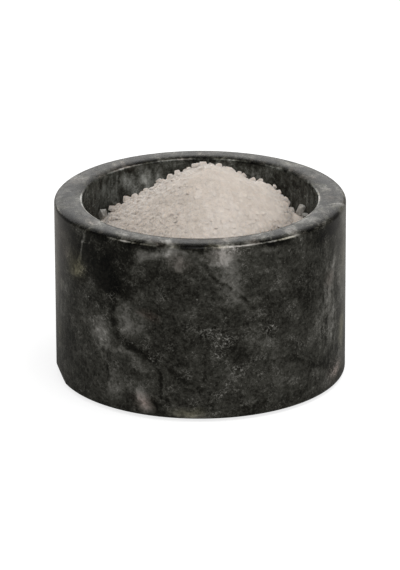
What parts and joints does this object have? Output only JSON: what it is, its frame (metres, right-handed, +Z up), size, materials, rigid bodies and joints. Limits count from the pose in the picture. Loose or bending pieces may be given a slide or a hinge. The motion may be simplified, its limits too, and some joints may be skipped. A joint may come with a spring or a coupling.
{
  "type": "salt cellar",
  "caption": "Round open salt cellar of dark cloudy marble with thick straight walls and a wide flat rim, heaped with coarse salt crystals.",
  "frame": {"origin": "on the surface that the cellar stands on, under the middle of the bowl", "axes": "+Z up along the bowl's axis, -Y towards the viewer in the usual view, +X to the right"},
  "size_m": [0.1016, 0.1016, 0.076],
  "materials": {
    "marble": "polished",
    "pad": "matte",
    "salt": "satin",
    "crystal": "gloss",
    "clear_crystal": "gloss"
  },
  "bodies": {
    "bowl": {"stone_bowl": "marble", "foot_pad_front_left": "pad", "foot_pad_front_right": "pad", "foot_pad_back_left": "pad", "foot_pad_back_right": "pad"},
    "salt": {"salt_fill": "salt", "salt_heap": "salt", "crystals_crown": "crystal", "crystals_upper_slope": "crystal", "crystals_middle_slope": "crystal", "crystals_lower_slope": "crystal", "loose_crystal_left": "clear_crystal", "loose_crystals_right": "clear_crystal"}
  },
  "joints": [
    {"name": "salt_lift", "type": "slide", "parent": "bowl", "child": "salt", "axis": [0, 0, 1], "range_m": [0, 0.06]}
  ]
}
